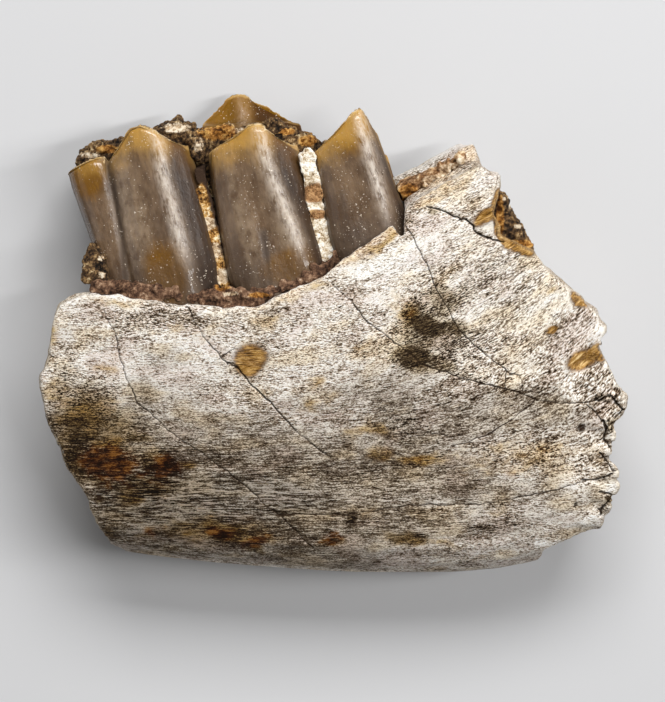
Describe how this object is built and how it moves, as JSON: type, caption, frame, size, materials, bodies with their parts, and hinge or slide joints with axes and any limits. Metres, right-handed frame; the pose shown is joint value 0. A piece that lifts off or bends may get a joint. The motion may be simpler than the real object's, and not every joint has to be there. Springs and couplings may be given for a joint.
{
  "type": "fossil oreodont jaw",
  "caption": "Fossil jaw fragment of an oreodont: a broken left lower jaw bone with crescent-cusped molar columns and rock matrix, lying cheek side up.",
  "frame": {"origin": "under the middle of the whole piece, on the surface that it rests on", "axes": "+X to the rear of the jaw, +Y up the tooth crowns, +Z out of the cheek face"},
  "size_m": [0.0446, 0.037, 0.012],
  "materials": {
    "bone": "dull cream-white fossil bone with dark flecks along the grain",
    "enamel": "satin brown fossil enamel, golden at the tips",
    "inner_enamel": "satin golden-brown fossil enamel",
    "dark_matrix": "rough dark rusty rock matrix",
    "pale_matrix": "rough cream rock matrix",
    "gold_matrix": "rough golden rock matrix",
    "spongy_core": "rough pitted bone core filled with matrix"
  },
  "bodies": {
    "root": {"jaw_bone": "bone", "tooth_lobe_front": "enamel", "tooth_lobe_middle": "enamel", "tooth_lobe_rear": "enamel", "tooth_shoulder": "enamel", "tooth_inner_middle": "inner_enamel", "tooth_inner_front": "inner_enamel", "tooth_inner_rear": "inner_enamel", "matrix_rim": "dark_matrix", "matrix_valley": "dark_matrix", "matrix_front_post": "pale_matrix", "matrix_strip_front": "gold_matrix", "matrix_strip_rear": "pale_matrix", "matrix_rear_edge": "dark_matrix", "matrix_trough": "dark_matrix", "core_front": "spongy_core", "core_rear": "spongy_core"}
  },
  "joints": []
}
